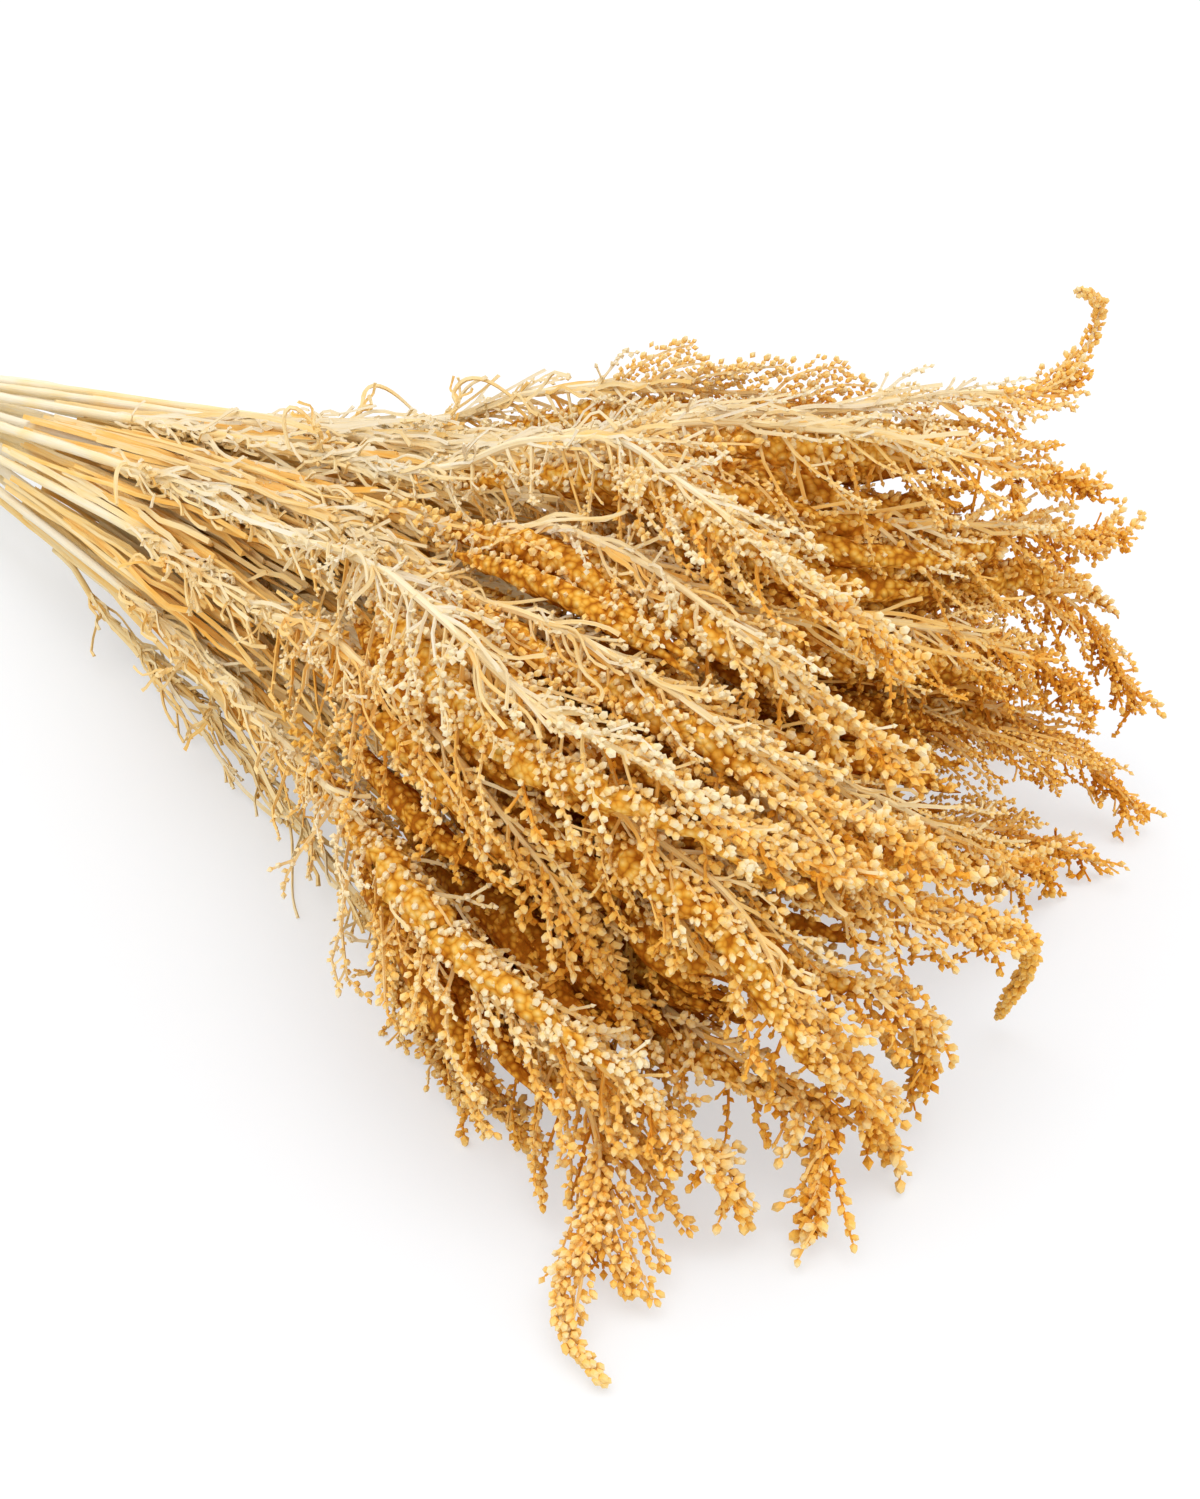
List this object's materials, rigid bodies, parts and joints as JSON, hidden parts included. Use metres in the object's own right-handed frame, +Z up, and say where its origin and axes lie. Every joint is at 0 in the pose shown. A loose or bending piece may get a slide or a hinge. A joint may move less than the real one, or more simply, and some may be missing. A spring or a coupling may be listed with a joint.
{
  "type": "bundle of dried goldenrod",
  "caption": "Cut and dried goldenrod stalks tied in a bunch that lies on its side, with straw stems fanning into arching plumes of small golden buds",
  "frame": {"origin": "under the middle of the bunch's box, on the surface that it lies on", "axes": "+X along the bunch from the cut ends to the flower tips, +Z up, +Y across the bunch"},
  "size_m": [0.6984, 0.3146, 0.1806],
  "materials": {
    "straw": "dry matt straw",
    "dried_buds": "dry matt buds",
    "natural_rubber": "matt"
  },
  "bodies": {
    "root": {"stem_01": "straw", "stem_02": "straw", "stem_03": "straw", "stem_04": "straw", "stem_05": "straw", "stem_06": "straw", "stem_07": "straw", "stem_08": "straw", "stem_09": "straw", "stem_10": "straw", "stem_11": "straw", "stem_12": "straw", "stem_13": "straw", "stem_14": "straw", "stem_15": "straw", "stem_16": "straw", "stem_17": "straw", "stem_18": "straw", "stem_19": "straw", "stem_20": "straw", "stem_21": "straw", "stem_22": "straw", "stem_23": "straw", "stem_24": "straw", "plume_01": "dried_buds", "plume_02": "dried_buds", "plume_03": "dried_buds", "plume_04": "dried_buds", "plume_05": "dried_buds", "plume_06": "dried_buds", "plume_07": "dried_buds", "plume_08": "dried_buds", "plume_09": "dried_buds", "plume_10": "dried_buds", "plume_11": "dried_buds", "plume_12": "dried_buds", "plume_13": "dried_buds", "plume_14": "dried_buds", "plume_15": "dried_buds", "plume_16": "dried_buds", "plume_17": "dried_buds", "plume_18": "dried_buds", "plume_19": "dried_buds", "plume_20": "dried_buds", "plume_21": "dried_buds", "plume_22": "dried_buds", "plume_23": "dried_buds", "plume_24": "dried_buds", "side_shoot_stem": "straw", "side_shoot_plume": "dried_buds", "leaf_1": "straw", "leaf_2": "straw", "leaf_3": "straw", "leaf_4": "straw", "leaf_5": "straw", "leaf_6": "straw", "leaf_7": "straw", "rubber_band": "natural_rubber"}
  },
  "joints": []
}
